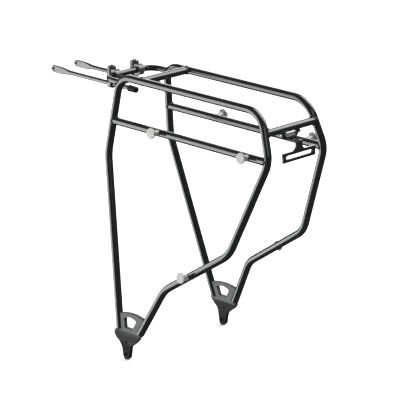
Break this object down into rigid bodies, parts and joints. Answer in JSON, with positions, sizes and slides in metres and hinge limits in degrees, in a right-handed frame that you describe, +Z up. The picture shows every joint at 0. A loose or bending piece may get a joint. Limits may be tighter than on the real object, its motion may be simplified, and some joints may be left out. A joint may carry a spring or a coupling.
{
  "type": "rear bicycle rack",
  "caption": "Rear rack: two bent tube side frames with cast feet, cross tubes, pannier studs, a tail light bracket and two adjustable stays.",
  "frame": {"origin": "midway between the centres of the two foot bolt holes", "axes": "+X to the rear of the bicycle, +Y to its right, +Z up"},
  "size_m": [0.4252, 0.1878, 0.361],
  "materials": {
    "tube_paint": "gloss black powder coat",
    "stay_paint": "gloss black coat",
    "foot_casting": "satin dark grey",
    "stud_steel": "turned and polished",
    "clamp_steel": "satin grey",
    "fastener_steel": "dark plated steel",
    "cap_rubber": "matt black"
  },
  "bodies": {
    "rack": {"left_side_loop": "tube_paint", "left_side_rail": "tube_paint", "left_foot": "foot_casting", "left_front_stud": "stud_steel", "left_rear_stud": "stud_steel", "left_lower_stud": "stud_steel", "right_side_loop": "tube_paint", "right_side_rail": "tube_paint", "right_foot": "foot_casting", "right_front_stud": "stud_steel", "right_rear_stud": "stud_steel", "right_lower_stud": "stud_steel", "front_crossbar": "tube_paint", "rear_crossbar": "tube_paint", "front_hoop": "tube_paint", "tail_bracket_loop": "tube_paint", "tail_light_bracket": "tube_paint", "tail_bracket_pin": "fastener_steel"},
    "left_clamp": {"left_clamp_upper_jaw": "clamp_steel", "left_clamp_lower_jaw": "clamp_steel", "left_clamp_washer": "fastener_steel"},
    "left_eye": {"left_eye_bolt": "fastener_steel", "left_clamp_nut": "fastener_steel"},
    "left_stay": {"left_stay": "stay_paint", "left_stay_cap": "cap_rubber"},
    "right_clamp": {"right_clamp_upper_jaw": "clamp_steel", "right_clamp_lower_jaw": "clamp_steel", "right_clamp_washer": "fastener_steel"},
    "right_eye": {"right_eye_bolt": "fastener_steel", "right_clamp_nut": "fastener_steel"},
    "right_stay": {"right_stay": "stay_paint", "right_stay_cap": "cap_rubber"}
  },
  "joints": [
    {"name": "left_clamp_tilt", "type": "hinge", "parent": "rack", "child": "left_clamp", "pos_m": [-0.0893, -0.0203, 0.3413], "axis": [0, 1, 0], "range_deg": [-25, 35]},
    {"name": "left_eye_swivel", "type": "hinge", "parent": "left_clamp", "child": "left_eye", "pos_m": [-0.0968, -0.0203, 0.3284], "axis": [0, 0, 1], "range_deg": [-5, 20]},
    {"name": "left_stay_slide", "type": "slide", "parent": "left_eye", "child": "left_stay", "axis": [1, 0, 0], "range_m": [-0.024, 0.07]},
    {"name": "right_clamp_tilt", "type": "hinge", "parent": "rack", "child": "right_clamp", "pos_m": [-0.0893, 0.0203, 0.3413], "axis": [0, 1, 0], "range_deg": [-25, 35]},
    {"name": "right_eye_swivel", "type": "hinge", "parent": "right_clamp", "child": "right_eye", "pos_m": [-0.0968, 0.0203, 0.3284], "axis": [0, 0, 1], "range_deg": [-20, 5]},
    {"name": "right_stay_slide", "type": "slide", "parent": "right_eye", "child": "right_stay", "axis": [1, 0, 0], "range_m": [-0.024, 0.07]}
  ]
}
